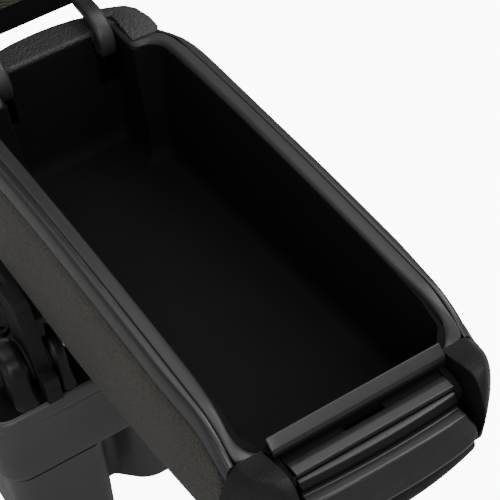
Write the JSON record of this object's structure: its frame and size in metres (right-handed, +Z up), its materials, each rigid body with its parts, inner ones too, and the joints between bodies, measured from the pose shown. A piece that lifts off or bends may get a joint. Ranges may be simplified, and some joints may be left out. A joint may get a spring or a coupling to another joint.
{
  "type": "car centre armrest with a storage bin",
  "caption": "Tilting car centre armrest: a tapered storage bin with a rounded nose, a padded hinged lid held open, and a saddle adapter that plugs into the console.",
  "frame": {"origin": "Middle of the flat foot of the console plug", "axes": "+X to the right seen from the front end, +Y to the rear of the car, +Z up"},
  "size_m": [0.212, 0.3637, 0.5125],
  "materials": {
    "satin_black": "fine satin moulding",
    "smooth_black": "smooth low-sheen moulding",
    "grained_black": "fine leather-like grain, matt",
    "bin_black": "dull, very dark",
    "hidden_black": "plain moulded",
    "pad_leather": "grained soft cover with seams",
    "steel": "plain drawn steel",
    "rubber_black": "dull rubber"
  },
  "bodies": {
    "pedestal": {"console_plug": "satin_black", "cap_base": "satin_black", "cap_top": "satin_black", "plug_screws": "steel", "console_pads": "rubber_black", "saddle_left": "satin_black", "saddle_right": "satin_black", "saddle_screws": "steel", "tilt_axle": "steel", "axle_caps": "hidden_black", "tilt_washers": "steel", "tilt_stops": "rubber_black"},
    "box": {"tilt_bracket": "hidden_black", "tilt_bushes": "rubber_black", "bracket_screws": "steel", "outer_shell": "grained_black", "bottom_pan": "hidden_black", "bin_liner": "bin_black", "rim_band": "smooth_black", "rear_cover": "grained_black", "lid_hinge_pin": "steel", "nose_bulkhead": "hidden_black", "ledge_bar": "smooth_black", "step_panel": "smooth_black", "front_valance": "grained_black", "cheek_left": "grained_black", "cheek_right": "grained_black", "handle_pin": "steel", "handle_springs": "steel"},
    "handle": {"release_handle": "smooth_black"},
    "lid": {"hinge_arm_left": "smooth_black", "hinge_arm_right": "smooth_black", "lid_panel": "hidden_black", "lid_lining": "grained_black", "lid_pad": "pad_leather", "lid_catch": "smooth_black", "arm_screws": "steel", "lid_buffers": "rubber_black"}
  },
  "joints": [
    {"name": "box_tilt", "type": "hinge", "parent": "pedestal", "child": "box", "pos_m": [0, -0.0342, 0.127], "axis": [-1, 0, 0], "range_deg": [0, 24]},
    {"name": "lid_hinge", "type": "hinge", "parent": "box", "child": "lid", "pos_m": [0, 0.0516, 0.2276], "axis": [1, 0, 0], "range_deg": [0, 94]},
    {"name": "release_handle", "type": "hinge", "parent": "box", "child": "handle", "pos_m": [0, -0.2345, 0.218], "axis": [-1, 0, 0], "range_deg": [0, 10], "stiffness_Nm_per_rad": 0.15, "springref_deg": -17.19}
  ]
}
